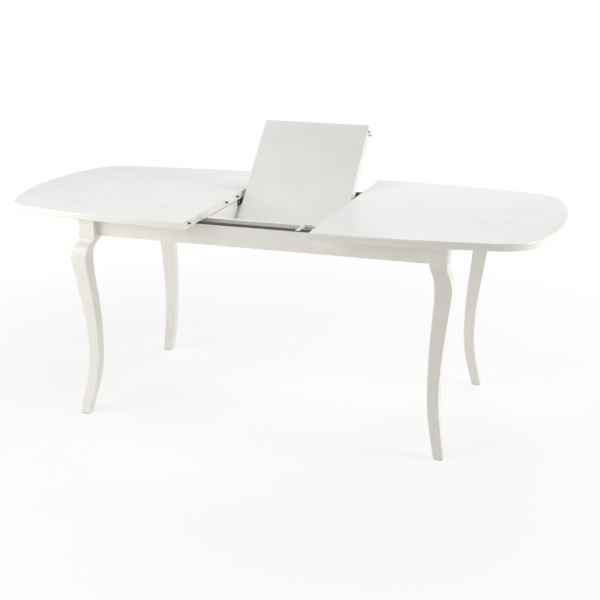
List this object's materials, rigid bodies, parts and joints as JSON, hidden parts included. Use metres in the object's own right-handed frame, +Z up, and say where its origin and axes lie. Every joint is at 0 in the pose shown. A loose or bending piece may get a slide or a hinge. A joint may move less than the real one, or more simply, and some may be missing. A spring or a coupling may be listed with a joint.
{
  "type": "extendable dining table",
  "caption": "White extendable dining table with bowed top, cabriole legs and a folding butterfly leaf standing half raised between the drawn-apart half tops.",
  "frame": {"origin": "on the floor, under the middle of the table", "axes": "+Z up, +X along the table towards the right half top, -Y is the front"},
  "size_m": [1.9358, 0.924, 0.9767],
  "materials": {
    "white_lacquer": "white satin lacquer",
    "raw_wood": "bare planed beech",
    "black_steel": "black electrocoat",
    "zinc_steel": "bright zinc plate",
    "white_steel": "white powder coat",
    "black_plastic": "matt moulded nylon",
    "peg_plastic": "matt dark grey nylon"
  },
  "bodies": {
    "base_frame": {"apron_front": "white_lacquer", "apron_left": "white_lacquer", "apron_rear": "white_lacquer", "apron_right": "white_lacquer", "corner_brace_front_left": "raw_wood", "corner_brace_front_right": "raw_wood", "corner_brace_rear_left": "raw_wood", "corner_brace_rear_right": "raw_wood", "cross_board_left": "white_lacquer", "cross_board_right": "white_lacquer", "glide_front_left": "black_plastic", "glide_front_right": "black_plastic", "glide_rear_left": "black_plastic", "glide_rear_right": "black_plastic", "hanger_bolts": "zinc_steel", "hanger_nuts": "zinc_steel", "leg_front_left": "white_lacquer", "leg_front_right": "white_lacquer", "leg_rear_left": "white_lacquer", "leg_rear_right": "white_lacquer", "pivot_bush_left": "black_plastic", "pivot_bush_right": "black_plastic", "pivot_plate_left": "black_steel", "pivot_plate_right": "black_steel", "pivot_plate_screws": "zinc_steel", "slide_rail_front": "black_steel", "slide_rail_rear": "black_steel", "slide_rail_screws": "zinc_steel", "tie_bracket": "white_steel", "tie_bracket_screws": "zinc_steel", "well_rail": "white_lacquer"},
    "top_left_half": {"alignment_pegs_top": "peg_plastic", "slide_angle_front_left": "black_steel", "slide_angle_rear_left": "black_steel", "slide_rivets_left": "zinc_steel", "slide_runner_front_left": "black_steel", "slide_runner_rear_left": "black_steel", "top_left": "white_lacquer", "top_screws_left": "zinc_steel"},
    "top_right_half": {"slide_angle_front_right": "black_steel", "slide_angle_rear_right": "black_steel", "slide_rivets_right": "zinc_steel", "slide_runner_front_right": "black_steel", "slide_runner_rear_right": "black_steel", "top_right": "white_lacquer", "top_screws_right": "zinc_steel"},
    "leaf_pivot_pins": {"pivot_pin_left": "zinc_steel", "pivot_pin_right": "zinc_steel", "pivot_spacer_left": "black_plastic", "pivot_spacer_right": "black_plastic"},
    "leaf_rear_half": {"alignment_pegs_leaf_rear": "peg_plastic", "leaf_hinge_pins": "zinc_steel", "leaf_hinge_plates_rear": "zinc_steel", "leaf_rear": "white_lacquer", "pivot_bracket_left": "zinc_steel", "pivot_bracket_right": "zinc_steel", "pivot_bracket_screws": "zinc_steel"},
    "leaf_front_half": {"alignment_pegs_leaf_front": "peg_plastic", "leaf_front": "white_lacquer", "leaf_hinge_plates_front": "zinc_steel"}
  },
  "joints": [
    {"name": "left_top_slide", "type": "slide", "parent": "base_frame", "child": "top_left_half", "axis": [1, 0, 0], "range_m": [0, 0.0117]},
    {"name": "right_top_slide", "type": "slide", "parent": "base_frame", "child": "top_right_half", "axis": [-1, 0, 0], "range_m": [0, 0.0117]},
    {"name": "leaf_stow", "type": "hinge", "parent": "base_frame", "child": "leaf_pivot_pins", "pos_m": [0, 0.14, 0.712], "axis": [1, 0, 0], "range_deg": [0, 135.7]},
    {"name": "leaf_lower", "type": "hinge", "parent": "leaf_pivot_pins", "child": "leaf_rear_half", "pos_m": [0, 0.14, 0.712], "axis": [-1, 0, 0], "range_deg": [0, 44.3]},
    {"name": "leaf_unfold", "type": "hinge", "parent": "leaf_rear_half", "child": "leaf_front_half", "pos_m": [0, 0.01309, 0.6416], "axis": [1, 0, 0], "range_deg": [0, 180]}
  ],
  "couplings": [
    {"joint": "leaf_unfold", "follows": "leaf_lower", "ratio": 4.0632}
  ]
}
